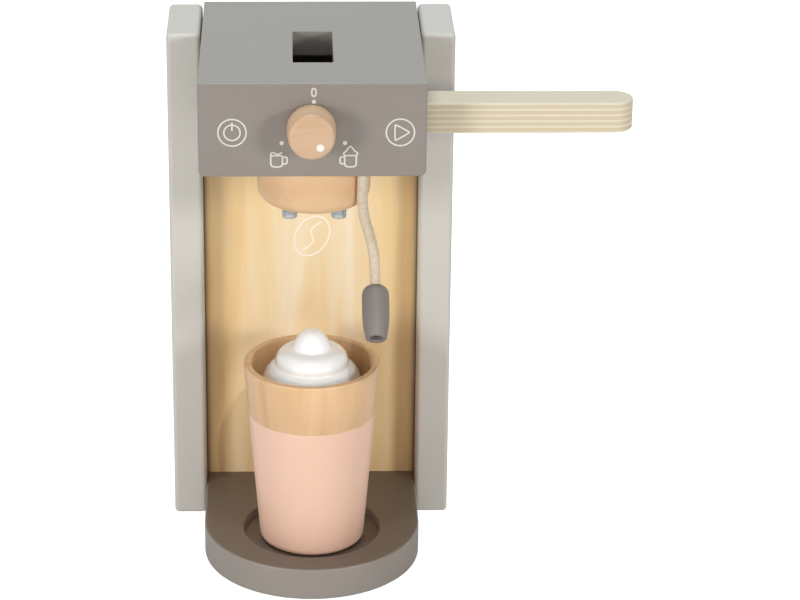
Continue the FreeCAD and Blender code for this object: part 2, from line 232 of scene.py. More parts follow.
def varnishedLime():
    look = limeBoard
    tones = ("pale", "warm", "dark")
    material = newMaterial("varnishedLimeBoardPaintedShade")
    figurePlace = stretchedPlace(material, "Z", look["figure"], look["figureLength"])
    figure = noise(material, figurePlace, detail=3.0, distortion=0.35)
    place = addNode(material, "ShaderNodeTexCoord")
    axes = addNode(material, "ShaderNodeSeparateXYZ", links={"Vector": place.outputs["Object"]})
    fromMiddle = calculate(material, "ABSOLUTE", axes.outputs["X"])
    # painted shade: the tone shifts darker and warmer away from the middle
    paintedEdgeShade = remap(material, fromMiddle, look["paintedShadeSpan"], look["paintedEdgeShade"])
    tone = calculate(material, "ADD", figure, paintedEdgeShade)
    colour = addNode(
        material, "ShaderNodeValToRGB", links={"Fac": tone},
        ramp=[(stop, look[key]) for stop, key in zip(look["tonePlaces"], tones)],
    )
    fibrePlace = stretchedPlace(material, "Z", look["fibre"], look["fibreLength"])
    fibre = noise(material, fibrePlace, detail=3.0, roughness=0.6)
    pores = remap(material, fibre, look["pores"], look["poreShare"])
    grained = mix(material, pores, colour.outputs["Color"], look["dark"])
    # painted shadow on the strip beside each groove
    reach = remap(material, fromMiddle, look["grooveShadowReach"])
    shadowAmount = calculate(material, "POWER", reach, look["grooveShadowFalloff"])
    grained = mix(material, shadowAmount, grained, look["paintedGrooveShadow"])
    shader = addNode(
        material, "ShaderNodeBsdfPrincipled", {"Roughness": look["roughness"], "IOR": clearIor},
        {"Base Color": grained},
    )
    return finishMaterial(material, shader, fibre, look["relief"])


# Turned beech under a clear varnish: pinkish straw, soft growth bands and short brown ray flecks
beechWood = {
    "pale": "e0ba90",
    "warm": "dab185",
    "band": "d1a475",
    "fleck": "c08f63",
    "knobPale": "d2b293",
    "knobWarm": "cca886",
    "knobBand": "bf9068",
    "tonePlaces": (0.36, 0.60, 0.74),
    "bandWidth": 9 * mm,
    "bandLength": 90 * mm,
    "fleckWidth": 0.34 * mm,
    "fleckLength": 2.6 * mm,
    "flecks": (0.60, 0.76),
    "fleckShare": (0.0, 0.30),
    "roughness": 0.40,
    "relief": 0.015 * mm,
}


def beechColour(
    material, grainAxis, turn=(0, 0, 0), shift=(0, 0, 0), tones=("pale", "warm", "band")
):
    # the colour, and the height of the flecks
    look = beechWood
    bandPlace = stretchedPlace(
        material, grainAxis, look["bandWidth"], look["bandLength"], turn, shift
    )
    bands = noise(material, bandPlace, detail=2.5, roughness=0.45, distortion=0.5)
    colour = addNode(
        material, "ShaderNodeValToRGB", links={"Fac": bands},
        ramp=[(stop, look[key]) for stop, key in zip(look["tonePlaces"], tones)],
    )
    fleckPlace = stretchedPlace(
        material, grainAxis, look["fleckWidth"], look["fleckLength"], turn, shift
    )
    flecks = noise(material, fleckPlace, detail=1.5)
    amount = remap(material, flecks, look["flecks"], look["fleckShare"])
    grained = mix(material, amount, colour.outputs["Color"], look["fleck"])
    return grained, flecks


def turnedBeech(name, grainAxis, **figure):
    material = newMaterial(name)
    colour, height = beechColour(material, grainAxis, **figure)
    shader = addNode(
        material, "ShaderNodeBsdfPrincipled",
        {"Roughness": beechWood["roughness"], "IOR": clearIor}, {"Base Color": colour},
    )
    return finishMaterial(material, shader, height, beechWood["relief"])


# Birch plywood, sawn and sanded: each veneer's long grain is pale, each end grain darker
plywood = {
    "plies": 11,
    "sandedOff": 0.2,            # share of the outer plies that is sanded away
    "pale": "dfd5be",
    "end": "d3c3a5",
    "glue": "c2b190",
    "glueShare": 0.10,
    "fibre": 0.45 * mm,
    "fibreLength": 12 * mm,
    "wave": 6 * mm,
    "waveLength": 45 * mm,
    "wander": 0.12,
    "streaks": (0.5, 0.8),
    "streakShare": (0.0, 0.40),
    "roughness": 0.52,
    "relief": 0.02 * mm,
}


def sandedPlywood():
    look = plywood
    low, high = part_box("lever_handle")
    material = newMaterial("sandedBirchPlywood")
    fibrePlace = stretchedPlace(material, "X", look["fibre"], look["fibreLength"])
    fibre = noise(material, fibrePlace, detail=4.0, roughness=0.6)
    wavePlace = stretchedPlace(material, "X", look["wave"], look["waveLength"])
    wave = noise(material, wavePlace)
    place = addNode(material, "ShaderNodeTexCoord")
    axes = addNode(material, "ShaderNodeSeparateXYZ", links={"Vector": place.outputs["Object"]})
    plyHeight = remap(
        material, axes.outputs["Z"], (low.z, high.z),
        (look["sandedOff"], look["plies"] - look["sandedOff"]), clamp=False,
    )
    wobble = calculate(material, "MULTIPLY", wave, look["wander"])
    ply = calculate(material, "ADD", plyHeight, wobble)
    # every second ply shows its end grain
    halfPly = calculate(material, "MULTIPLY", ply, 0.5)
    pair = calculate(material, "FRACT", halfPly)
    endGrain = calculate(material, "GREATER_THAN", pair, 0.5)
    within = calculate(material, "FRACT", ply)
    glue = calculate(material, "LESS_THAN", within, look["glueShare"])
    veneer = mix(material, endGrain, look["pale"], look["end"])
    lined = mix(material, glue, veneer, look["glue"])
    streak = remap(material, fibre, look["streaks"], look["streakShare"])
    grained = mix(material, streak, lined, look["end"])
    shader = addNode(
        material, "ShaderNodeBsdfPrincipled", {"Roughness": look["roughness"], "IOR": clearIor},
        {"Base Color": grained},
    )
    return finishMaterial(material, shader, fibre, look["relief"])


# Turned beech cup dipped in pale pink lacquer: bare wood at the rim and inside, an even satin
# skin with a crisp level edge below
cupLook = {
    "lacquer": "f2cbb4",
    "lacquerShade": "efc4ac",
    "lacquerTop": 80.5 * mm,
    "edgeWander": 0.25 * mm,
    "edgeWave": 6 * mm,
    "edgeWaveLength": 60 * mm,
    "mottle": 25 * mm,
    "grainShift": (0.3, 1.7, 0.0),
    "inWall": 1.8 * mm,          # under the skin: farther out is lacquered, farther in is bare
    "roughness": 0.36,
    "relief": 0.008 * mm,
}


def dippedBeech():
    look = cupLook
    material = newMaterial("dippedBeech")
    colour, height = beechColour(material, "Z", shift=look["grainShift"])
    place = addNode(material, "ShaderNodeTexCoord")
    axes = addNode(material, "ShaderNodeSeparateXYZ", links={"Vector": place.outputs["Object"]})
    wanderPlace = stretchedPlace(material, "Z", look["edgeWave"], look["edgeWaveLength"])
    wander = noise(material, wanderPlace)
    edge = remap(
        material, wander,
        to=(look["lacquerTop"] - look["edgeWander"], look["lacquerTop"] + look["edgeWander"]),
    )
    below = calculate(material, "LESS_THAN", axes.outputs["Z"], edge)
    square = addNode(
        material, "ShaderNodeVectorMath", {1: (1, 1, 0)},
        {0: place.outputs["Object"]}, operation="MULTIPLY",
    )
    fromAxis = addNode(
        material, "ShaderNodeVectorMath", {1: (middle("cup").x, middle("cup").y, 0)},
        {0: square.outputs[0]}, operation="DISTANCE",
    )
    low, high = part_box("cup")
    wall = remap(
        material, axes.outputs["Z"], (low.z, high.z),
        [cupShape[end] - look["inWall"] for end in ("footRadius", "rimRadius")],
    )
    outside = calculate(material, "GREATER_THAN", fromAxis.outputs["Value"], wall)
    nearFloor = calculate(material, "LESS_THAN", axes.outputs["Z"], low.z + cupShape["floor"] * 0.5)
    skin = calculate(material, "MAXIMUM", outside, nearFloor)
    dipped = calculate(material, "MULTIPLY", skin, below)
    cloudPlace = stretchedPlace(material, "Z", look["mottle"], look["mottle"])
    cloud = noise(material, cloudPlace)
    lacquer = mix(material, cloud, look["lacquer"], look["lacquerShade"])
    both = mix(material, dipped, colour, lacquer)
    shader = addNode(
        material, "ShaderNodeBsdfPrincipled", {"Roughness": look["roughness"], "IOR": clearIor},
        {"Base Color": both},
    )
    return finishMaterial(material, shader, height, look["relief"])


# Polyester lacquer, sprayed thick and polished on turned wood: bright white with a deep gloss
whiteLacquer = {
    "colour": "f8f8f7",
    "shade": "f3f3f2",
    "mottle": 9 * mm,
    "roughness": 0.28,
    "coat": 0.8,
    "coatRoughness": 0.10,
    "relief": 0.05 * mm,
}


def polishedWhite():
    look = whiteLacquer
    material = newMaterial("polishedWhiteLacquer")
    cloudPlace = stretchedPlace(material, "Z", look["mottle"], look["mottle"])
    cloud = noise(material, cloudPlace)
    colour = mix(material, cloud, look["colour"], look["shade"])
    shader = addNode(
        material, "ShaderNodeBsdfPrincipled",
        {"Roughness": look["roughness"], "IOR": clearIor, "Coat Weight": look["coat"],
         "Coat Roughness": look["coatRoughness"]},
        {"Base Color": colour},
    )
    return finishMaterial(material, shader, cloud, look["relief"])


# Braided cotton cord: matt, undyed, each yarn slightly lighter or darker than the next
cotton = {
    "yarn": 1.8 * mm,
    "tones": [(0.30, "c8b79f"), (0.52, "d0bfa8"), (0.75, "d8c9b3")],
    "fuzz": 0.28 * mm,
    "roughness": 0.92,
    "sheen": 0.35,
    "sheenRoughness": 0.5,
    "relief": 0.06 * mm,
}


def braidedCotton():
    look = cotton
    material = newMaterial("braidedCotton")
    place = addNode(material, "ShaderNodeTexCoord")
    yarns = noise(material, place.outputs["Object"], scale=1 / look["yarn"])
    colour = addNode(material, "ShaderNodeValToRGB", links={"Fac": yarns}, ramp=look["tones"])
    fuzz = noise(material, place.outputs["Object"], scale=1 / look["fuzz"], detail=4.0)
    shader = addNode(
        material, "ShaderNodeBsdfPrincipled",
        {"Roughness": look["roughness"], "Sheen Weight": look["sheen"],
         "Sheen Roughness": look["sheenRoughness"]},
        {"Base Color": colour.outputs["Color"]},
    )
    return finishMaterial(material, shader, fuzz, look["relief"])


# Extruded soft vinyl tube: clear with a cold blue cast and a wet gloss
vinyl = {
    "colour": "dfeaf0",
    "shade": "bccbd6",
    "streak": 0.7 * mm,
    "streakLength": 6 * mm,
    "roughness": 0.12,
    "ior": 1.53,
    "clear": 0.72,
    "relief": 0.02 * mm,
}


def clearVinyl():
    look = vinyl
    material = newMaterial("extrudedClearVinyl")
    streakPlace = stretchedPlace(material, "Z", look["streak"], look["streakLength"])
    streak = noise(material, streakPlace)
    colour = mix(material, streak, look["colour"], look["shade"])
    shader = addNode(
        material, "ShaderNodeBsdfPrincipled",
        {"Roughness": look["roughness"], "IOR": look["ior"], "Transmission Weight": look["clear"]},
        {"Base Color": colour},
    )
    return finishMaterial(material, shader, streak, look["relief"])


# Zinc-plated steel: bright grey metal with a faint brushed haze
zinc = {
    "colour": "c9cac8",
    "haze": 0.4 * mm,
    "hazeLength": 3 * mm,
    "roughness": (0.25, 0.42),
    "relief": 0.01 * mm,
}


def zincSteel():
    look = zinc
    material = newMaterial("zincPlatedSteel")
    hazePlace = stretchedPlace(material, "Y", look["haze"], look["hazeLength"])
    haze = noise(material, hazePlace)
    rough = remap(material, haze, to=look["roughness"])
    shader = addNode(
        material, "ShaderNodeBsdfPrincipled",
        {"Base Color": linearColour(look["colour"]), "Metallic": 1.0}, {"Roughness": rough},
    )
    return finishMaterial(material, shader, haze, look["relief"])


# Pad-printed ink: thin, matt and slightly uneven in cover
inkCover = {"grain": 0.5 * mm, "roughness": 0.55}


def padPrint(name, full, thin):
    look = inkCover
    material = newMaterial(name)
    coverPlace = stretchedPlace(material, "Z", look["grain"], look["grain"])
    cover = noise(material, coverPlace)
    colour = mix(material, cover, full, thin)
    shader = addNode(
        material, "ShaderNodeBsdfPrincipled", {"Roughness": look["roughness"], "IOR": clearIor},
        {"Base Color": colour},
    )
    return finishMaterial(material, shader)


# Camera: the photograph's viewpoint, in front and above, a little left of the middle

cameraSettings = {
    "place": (-11.72 * mm, -1343.7 * mm, 687.0 * mm),
    "down": 22.135,              # degrees, as the next two
    "right": 1.115,
    "roll": 0.232,
    "focalPixels": 2914.9,
    "frameWidth": 800,
    "sensor": 36.0,
    "shift": (0.075, -0.05),
}


def makeCamera():
    look = cameraSettings
    deselectAll()
    bpy.ops.object.camera_add(location=look["place"])
    camera = bpy.context.object
    camera.name = "photoCamera"
    aim = Matrix.Rotation(math.radians(-look["right"]), 3, "Z")
    tilt = Matrix.Rotation(math.radians(90 - look["down"]), 3, "X")
    roll = Matrix.Rotation(math.radians(look["roll"]), 3, "Z")
    camera.rotation_euler = (aim @ tilt @ roll).to_euler()
    camera.data.sensor_width = look["sensor"]
    camera.data.lens = look["sensor"] * look["focalPixels"] / look["frameWidth"]
    camera.data.shift_x, camera.data.shift_y = look["shift"]
    bpy.context.scene.camera = camera
    report("camera placed")


# Rope of the frother: a braided cotton cord along the CAD's route

cordShape = {
    "diameter": 5.1 * mm,
    "ridge": 0.16 * mm,
    "ridgeRound": 0.7,           # the smaller, the flatter the yarns' tops
    "yarnPairs": 6,
    "pitch": 9.0 * mm,           # length of one yarn's turn round the cord
    "sides": 48,
    "stepsPerPoint": 30,
    "route": [                   # the CAD route's points, in millimetres
        (23.8, -64.6, 213.7),
        (23.7, -64.6, 206.1),
        (23.4, -65.2, 197.5),
        (24.3, -65.5, 188.7),
        (26.9, -66.6, 180.4),
        (29.0, -69.8, 172.6),
        (29.5, -74.8, 165.4),
        (29.5, -81.34, 159.512),
    ],
}


def routeCentreline(look):
    curve = bpy.data.curves.new("cordRoute", "CURVE")
    curve.dimensions = "3D"
    curve.resolution_u = look["stepsPerPoint"]
    spline = curve.splines.new("NURBS")
    spline.points.add(len(look["route"]) - 1)
    for point, place in zip(spline.points, look["route"]):
        point.co = (*(c * mm for c in place), 1.0)
    spline.order_u = 3
    spline.use_endpoint_u = True
    holder = bpy.data.objects.new("cordRoute", curve)
    bpy.context.scene.collection.objects.link(holder)
    line = bpy.data.meshes.new_from_object(holder)
    points = [v.co.copy() for v in line.vertices]
    bpy.data.objects.remove(holder)
    bpy.data.meshes.remove(line)
    return points


def braidRadius(look, angle, along):
    turn = 2 * math.pi * along / look["pitch"]
    over = abs(math.cos(look["yarnPairs"] / 2 * (angle + turn)))
    under = abs(math.cos(look["yarnPairs"] / 2 * (angle - turn)))
    return look["diameter"] / 2 - look["ridge"] * (1 - max(over, under) ** look["ridgeRound"])


def makeCord():
    look = cordShape
    points = routeCentreline(look)
    mesh = bmesh.new()
    rings = []
    along = 0.0
    side = Vector((1, 0, 0))
    for index, point in enumerate(points):
        before = points[max(index - 1, 0)]
        after = points[min(index + 1, len(points) - 1)]
        along += (point - before).length
        tangent = (after - before).normalized()
        side = (side - tangent * side.dot(tangent)).normalized()
        other = tangent.cross(side)
        ring = []
        for step in range(look["sides"]):
            angle = 2 * math.pi * step / look["sides"]
            radius = braidRadius(look, angle, along)
            ring.append(mesh.verts.new(
                point + (side * math.cos(angle) + other * math.sin(angle)) * radius
            ))
        rings.append(ring)
    for low, high in zip(rings, rings[1:]):
        for i in range(look["sides"]):
            j = (i + 1) % look["sides"]
            mesh.faces.new((low[i], low[j], high[j], high[i]))
    mesh.faces.new(list(reversed(rings[0])))
    mesh.faces.new(rings[-1])
    bmesh.ops.recalc_face_normals(mesh, faces=mesh.faces)
    data = bpy.data.meshes.new("braidedCord")
    mesh.to_mesh(data)
    mesh.free()
    data.polygons.foreach_set("use_smooth", [True] * len(data.polygons))
    cord = bpy.data.objects.new("braidedCord", data)
    bpy.context.scene.collection.objects.link(cord)
    data.materials.append(braidedCotton())
    length = sum((b - a).length for a, b in zip(points, points[1:]))
    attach(cord, "frother")
    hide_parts("frother_cord")
    report("cord braided, %.1f mm" % (length / mm))


# Turning: a ring of vertices is drawn up step by step and resized, like a blank on a lathe.
# The smoothing rounds a profile between its points, so points close together hold an edge.

lathe = {"pole": 0.02 * mm, "smoothing": 2}


def turnOnLathe(name, centre, profile, sides):
    # profile: (radius, z) points in metres, along the surface from one pole to the other
    look = lathe
    rings = [(max(r, look["pole"]), z) for r, z in profile]
    deselectAll()
    bpy.ops.mesh.primitive_circle_add(
        vertices=sides, radius=rings[0][0], location=(centre[0], centre[1], rings[0][1])
    )
    piece = bpy.context.object
    piece.name = piece.data.name = name
    applyPlace(piece)
    bpy.ops.object.mode_set(mode="EDIT")
    bpy.ops.mesh.select_all(action="SELECT")
    for (lowR, lowZ), (highR, highZ) in zip(rings, rings[1:]):
        bpy.ops.mesh.extrude_region_move(
            TRANSFORM_OT_translate={"value": (0, 0, highZ - lowZ)}
        )
        bpy.ops.transform.resize(
            value=(highR / lowR, highR / lowR, 1), center_override=(centre[0], centre[1], highZ)
        )
    bpy.ops.mesh.select_all(action="SELECT")
    bpy.ops.mesh.remove_doubles(threshold=2.5 * look["pole"])    # closes both poles
    bpy.ops.mesh.normals_make_consistent(inside=False)
    bpy.ops.object.mode_set(mode="OBJECT")
    bpy.ops.object.shade_smooth()
    smooth = piece.modifiers.new("smooth", "SUBSURF")
    smooth.levels = smooth.render_levels = look["smoothing"]
    applyModifiers(piece)
    return piece


def dress(piece, body, node, material):
    piece.data.materials.clear()
    piece.data.materials.append(material)
    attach(piece, body)
    if node:
        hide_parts(node)


# Knob: turned beech, a slight taper up to a flat face with an eased edge

knobShape = {
    "waistRadius": 11.45 * mm,
    "faceRadius": 11.0 * mm,
    "edge": 1.9 * mm,
    "markRadius": 1.75 * mm,
    "mark": (3.93 * mm, -4.68 * mm),   # right of and below the knob's middle
    "markThickness": 0.06 * mm,
    "markInk": ("f6f0ea", "efe6de"),
    "grainTurn": (0.0, 0.35, 0.0),
    "grainShift": (0.2, 0.0, 0.33),
}


def makeKnob():
    look = knobShape
    low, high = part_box("knob")
    centre = (low + high) / 2
    length = high.y - low.y
    waist, face, edge = look["waistRadius"], look["faceRadius"], look["edge"]
    profile = [
        (0, 0), (waist * 0.5, 0), (waist - 0.6 * mm, 0), (waist - 0.05 * mm, 0.3 * mm),
        (waist, 1.5 * mm), (waist, length * 0.4), (face + 0.1 * mm, length - 2.2 * edge),
        (face, length - edge), (face - 0.22 * edge, length - 0.35 * edge),
        (face - 0.75 * edge, length - 0.02 * edge), (face - 1.3 * edge, length),
        (face * 0.5, length), (0, length),
    ]
    knob = turnOnLathe("turnedKnob", (0, 0), profile, sides=40)
    knob.rotation_euler = (math.pi / 2, 0, 0)      # +Z of the blank now points at the viewer
    knob.location = (centre.x, high.y, centre.z)
    applyPlace(knob)
    dress(knob, "knob", "knob", turnedBeech(
        "turnedBeechKnob", "X", turn=look["grainTurn"], shift=look["grainShift"],
        tones=("knobPale", "knobWarm", "knobBand"),
    ))
    mark = printedDots(
        "knobMark", [(centre.x + look["mark"][0], centre.z + look["mark"][1])],
        low.y, look["markRadius"], look["markThickness"],
    )
    dress(mark, "knob", None, padPrint("markInk", *look["markInk"]))
    report("knob turned")


# Group head: turned beech disc with a wide round lower edge, and the two spouts

groupHeadShape = {
    "topEdge": 1.0 * mm,
    "lowerRound": 7.0 * mm,
    "roundStops": (0, 18, 36, 54, 72, 90),   # degrees
    "grainShift": (0.0, 0.4, 0.9),
}


def makeGroupHead():
    look = groupHeadShape
    low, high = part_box("group_head")
    centre = (low + high) / 2
    radius = (high.x - low.x) / 2
    r = look["lowerRound"]
    corner = [
        (radius - r + r * math.sin(a), low.z + r - r * math.cos(a))
        for a in map(math.radians, look["roundStops"])
    ]
    top = look["topEdge"]
    profile = [
        (0, low.z), (radius * 0.35, low.z), (radius - r - 1.5 * mm, low.z), *corner,
        (radius, high.z - 9 * mm), (radius, high.z - top - 0.6 * mm),
        (radius - 0.3 * top, high.z - 0.3 * top), (radius - top - 0.6 * mm, high.z),
        (radius * 0.5, high.z), (0, high.z),
    ]
    disc = turnOnLathe("turnedGroupHead", centre, profile, sides=56)
    dress(disc, "lever", "group_head", turnedBeech(
        "turnedBeechDisc", "X", shift=look["grainShift"]
    ))
    report("group head turned")


spoutShape = {
    "wall": 1.3 * mm,
    "lip": 0.35 * mm,
    "socket": 0.8 * mm,          # how far it goes into the disc's underside
}


def makeSpout(node, name):
    look = spoutShape
    low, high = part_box(node)
    centre = (low + high) / 2
    outer = (high.x - low.x) / 2
    inner = outer - look["wall"]
    lip = look["lip"]
    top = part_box("group_head")[0].z + look["socket"]
    plug = top - look["socket"]
    profile = [
        (0, plug), (inner * 0.5, plug), (inner - 0.2 * mm, plug), (inner, top - 1.0 * mm),
        (inner, low.z + 1.2 * mm), (inner + 0.05 * mm, low.z + lip),
        (inner + 0.4 * mm, low.z), (outer - 0.4 * mm, low.z), (outer, low.z + lip),
        (outer, low.z + 1.5 * mm), (outer, top - 0.3 * mm), (outer - 0.1 * mm, top), (0, top),
    ]
    tube = turnOnLathe(name, centre, profile, sides=28)
    dress(tube, "lever", node, clearVinyl())


def makeSpouts():
    makeSpout("left_spout", "leftSpoutTube")
    makeSpout("right_spout", "rightSpoutTube")
    report("spouts set")


# Frother nozzle: turned and painted, rounded at the rope, tapered to a bored tip. It leans
# forward on the rope's end.

nozzleShape = {
    "length": 26.7 * mm,
    "radius": 6.5 * mm,
    "lean": 48.0,                # degrees forward from hanging straight down
    "endRadius": 5.7 * mm,
    "tipRadius": 5.1 * mm,
    "boreRadius": 2.9 * mm,
    "boreDepth": 9.0 * mm,
    "taper": 9.5 * mm,
    "bead": 0.45 * mm,
}


def makeNozzle():
    look = nozzleShape
    radius, bore, tip = look["radius"], look["boreRadius"], look["tipRadius"]
    end, bead, taper = look["endRadius"], look["bead"], look["taper"]
    low = -look["length"]
    floor = low + look["boreDepth"]
    profile = [
        (0, floor), (bore * 0.6, floor), (bore - 0.1 * mm, floor), (bore, floor - 0.3 * mm),
        (bore, low + 2.0 * mm), (bore, low + 0.8 * mm), (bore + 0.4 * bead, low + 0.15 * mm),
        (bore + 1.3 * bead, low), (tip - 1.3 * bead, low), (tip - 0.3 * bead, low + 0.2 * mm),
        (tip, low + 1.0 * mm), (radius - 0.55 * mm, low + taper * 0.55),
        (radius - 0.08 * mm, low + taper), (radius, low + taper * 1.5), (radius, -5.0 * mm),
        (radius - 0.15 * mm, -3.2 * mm), (end + 0.2 * mm, -1.7 * mm), (end - 0.7 * mm, -0.5 * mm),
        (end - 1.9 * mm, 0), (cordShape["diameter"] / 2, 0), (0, 0),
    ]
    nozzle = turnOnLathe("turnedNozzle", (0, 0), profile, sides=36)
    nozzle.rotation_euler = (-math.radians(look["lean"]), 0, 0)
    nozzle.location = [c * mm for c in cordShape["route"][-1]]
    applyPlace(nozzle)
    dress(nozzle, "frother", "frother_nozzle",
          paintedBoard("satinTaupeTurned", paint["nozzle"], "Z"))
    report("nozzle turned")
    return nozzle


# Cup: turned beech with a straight taper. The lacquer stands a hair proud of the bare wood.

cupShape = {
    "footRadius": 25.6 * mm,
    "rimRadius": 33.3 * mm,
    "wall": 3.7 * mm,
    "floor": 6.0 * mm,
    "foot": 2.2 * mm,
    "lacquerStep": 0.10 * mm,
}


def makeCup():
    look = cupShape
    low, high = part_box("cup")
    centre = (low + high) / 2
    height = high.z - low.z
    edge = cupLook["lacquerTop"]
    rim = look["rimRadius"]

    def outer(z):
        return look["footRadius"] + (rim - look["footRadius"]) * (z - low.z) / height

    def inner(z):
        return outer(z) - look["wall"]

    foot = look["foot"]
    step = look["lacquerStep"]
    floor = low.z + look["floor"]
    profile = [
        (0, low.z), (look["footRadius"] * 0.5, low.z), (outer(low.z) - foot - 0.8 * mm, low.z),
        (outer(low.z) - foot * 0.45, low.z + foot * 0.16),
        (outer(low.z) - foot * 0.08, low.z + foot * 0.62),
        (outer(low.z + foot * 1.3), low.z + foot * 1.3),
        (outer(low.z + 0.25 * height), low.z + 0.25 * height),
        (outer(edge - 6 * mm), edge - 6 * mm), (outer(edge - 0.5 * mm), edge - 0.5 * mm),
        (outer(edge - 0.1 * mm) - step * 0.2, edge - 0.1 * mm),
        (outer(edge + 0.1 * mm) - step, edge + 0.1 * mm),
        (outer(edge + 0.6 * mm) - step, edge + 0.6 * mm),
        (outer(high.z - 8 * mm) - step * 0.5, high.z - 8 * mm), (rim - 0.08 * mm, high.z - 1.0 * mm),
        (rim - 0.2 * mm, high.z - 0.2 * mm), (rim - 0.8 * mm, high.z),
        (rim - look["wall"] + 0.8 * mm, high.z), (rim - look["wall"] + 0.2 * mm, high.z - 0.2 * mm),
        (inner(high.z) - 0.05 * mm, high.z - 1.0 * mm), (inner(high.z - 20 * mm), high.z - 20 * mm),
        (inner(floor + 12 * mm), floor + 12 * mm), (inner(floor + 2.5 * mm), floor + 2.5 * mm),
        (inner(floor) - 0.6 * mm, floor + 0.5 * mm), (inner(floor) - 2.6 * mm, floor),
        (inner(floor) * 0.5, floor), (0, floor),
    ]
    cup = turnOnLathe("turnedCup", centre, profile, sides=60)
    dress(cup, "cup", "cup", dippedBeech())
    report("cup turned")


# Whipped cream: a dome on two bulges, turned and lacquered white

creamShape = {
    # (radius, height over the cup's rim) in millimetres, from the hidden plug up to the tip
    "profile": [
        (0, -21.8), (14, -21.8), (26.4, -21.8), (27.3, -21.3), (27.4, -16.2), (26.7, -14.2),
        (25.0, -13.3), (24.5, -11.8), (24.2, -8.8), (22.9, -5.4), (20.8, -2.9), (18.9, -1.9),
        (17.95, -1.5), (17.85, -0.7), (17.95, 0.7), (17.3, 3.0), (15.7, 5.2), (13.5, 6.5),
        (11.4, 7.0), (10.0, 7.3), (9.35, 8.3), (8.4, 10.3), (7.0, 12.9), (5.3, 15.1), (2.9, 16.6),
        (0, 16.85),
    ],
}


def makeCream():
    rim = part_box("cup")[1].z
    centre = middle("cream_top")
    profile = [(r * mm, rim + z * mm) for r, z in creamShape["profile"]]
    cream = turnOnLathe("turnedCream", centre, profile, sides=56)
    dress(cream, "cream", "cream_top", polishedWhite())
    report("cream turned")


# Prints: strokes of ink a few hundredths of a millimetre thick on the boards' faces

printShape = {
    "stroke": 0.75 * mm,
    "thickness": 0.08 * mm,
    "ink": ("e2dfd6", "d6d1c7"),
    "ringRadius": 6.5,           # the numbers below are in millimetres
    "innerRadius": 3.75,
    "power": (-37.08, 235.08),
    "play": (40.57, 235.08),
    "zero": (0.66, 254.63),
    "zeroHalf": (0.86, 1.55),
    "dots": [(0.66, 250.06), (-14.21, 229.95), (15.04, 229.95)],
    "dotRadius": 1.0,
    "cup": (-16.57, 221.01),
    "creamCup": (17.6, 221.01),
}


inkStroke = {"steps": 10, "roundness": 3, "weld": 0.001 * mm}


def strokeCurve(name, strokes, plane, width, thickness):
    # strokes: (points as (x, z) in millimetres, closed). They are flattened onto y = plane.
    look = inkStroke
    curve = bpy.data.curves.new(name, "CURVE")
    curve.dimensions = "3D"
    curve.resolution_u = look["steps"]
    curve.bevel_depth = width / 2
    curve.bevel_resolution = look["roundness"]
    curve.use_fill_caps = True
    for points, closed in strokes:
        spline = curve.splines.new("NURBS")
        spline.points.add(len(points) - 1)
        for point, (x, z) in zip(spline.points, points):
            point.co = (x * mm, 0, z * mm, 1)
        spline.order_u = 3
        spline.use_cyclic_u = closed
        spline.use_endpoint_u = not closed
    piece = bpy.data.objects.new(name, curve)
    bpy.context.scene.collection.objects.link(piece)
    selectOnly(piece)
    bpy.ops.object.convert(target="MESH")
    piece = bpy.context.object
    piece.scale = (1, thickness / width, 1)
    piece.location = (0, plane, 0)
    applyPlace(piece)
    bpy.ops.object.mode_set(mode="EDIT")
    bpy.ops.mesh.select_all(action="SELECT")
    bpy.ops.mesh.remove_doubles(threshold=look["weld"])
    bpy.ops.mesh.normals_make_consistent(inside=False)
    bpy.ops.object.mode_set(mode="OBJECT")
    return piece


def circlePoints(centre, radius, count=16):
    # NURBS control points outside the circle, so that the drawn ring has the wanted radius
    out = radius / (0.75 + 0.25 * math.cos(2 * math.pi / count))
    return [
        (centre[0] + out * math.cos(2 * math.pi * i / count),
         centre[1] + out * math.sin(2 * math.pi * i / count))
        for i in range(count)
    ]


dotShape = {"sides": 32, "ease": 0.4, "easeSteps": 2}


def printedDots(name, places, plane, radius, thickness):
    # low flat discs with an eased edge
    look = dotShape
    dots = []
    for x, z in places:
        deselectAll()
        bpy.ops.mesh.primitive_cylinder_add(
            vertices=look["sides"], radius=radius, depth=thickness, location=(x, plane, z),
            rotation=(math.pi / 2, 0, 0),
        )
        dot = bpy.context.object
        ease = dot.modifiers.new("ease", "BEVEL")
        ease.width = thickness * look["ease"]
        ease.segments = look["easeSteps"]
        applyModifiers(dot)
        dots.append(dot)
    deselectAll()
    for dot in dots:
        dot.select_set(True)
    bpy.context.view_layer.objects.active = dots[0]
    if len(dots) > 1:
        bpy.ops.object.join()
    piece = bpy.context.object
    piece.name = piece.data.name = name
    applyPlace(piece)
    return piece


cornerRun = 0.55     # millimetres from a corner to the two points that stand in for it


def doubled(points):
    # each corner twice with a short run between, which rounds it tightly
    result = []
    for index, point in enumerate(points):
        for other in (points[index - 1], points[(index + 1) % len(points)]):
            dx, dz = other[0] - point[0], other[1] - point[1]
            step = cornerRun / max(math.hypot(dx, dz), cornerRun)
            result.append((point[0] + dx * step, point[1] + dz * step))
    return result


def moved(points, centre, flip=1):
    return [(centre[0] + flip * x, centre[1] + z) for x, z in points]


def mugStrokes(centre, flip):
    body = [(-2.7, 2.75), (-2.7, 0.5), (-2.7, -2.0), (-1.6, -2.8), (1.6, -2.8), (2.7, -2.0),
            (2.7, 0.5), (2.7, 2.75)]
    brim = [(-2.7, 2.75), (0, 2.75), (2.7, 2.75)]
    handle = [(2.7, 2.0), (3.6, 2.1), (4.75, 2.0), (4.9, 0.4), (4.7, -1.2), (3.6, -1.35),
              (2.7, -1.2)]
    return [(moved(line, centre, flip), False) for line in (body, brim, handle)]


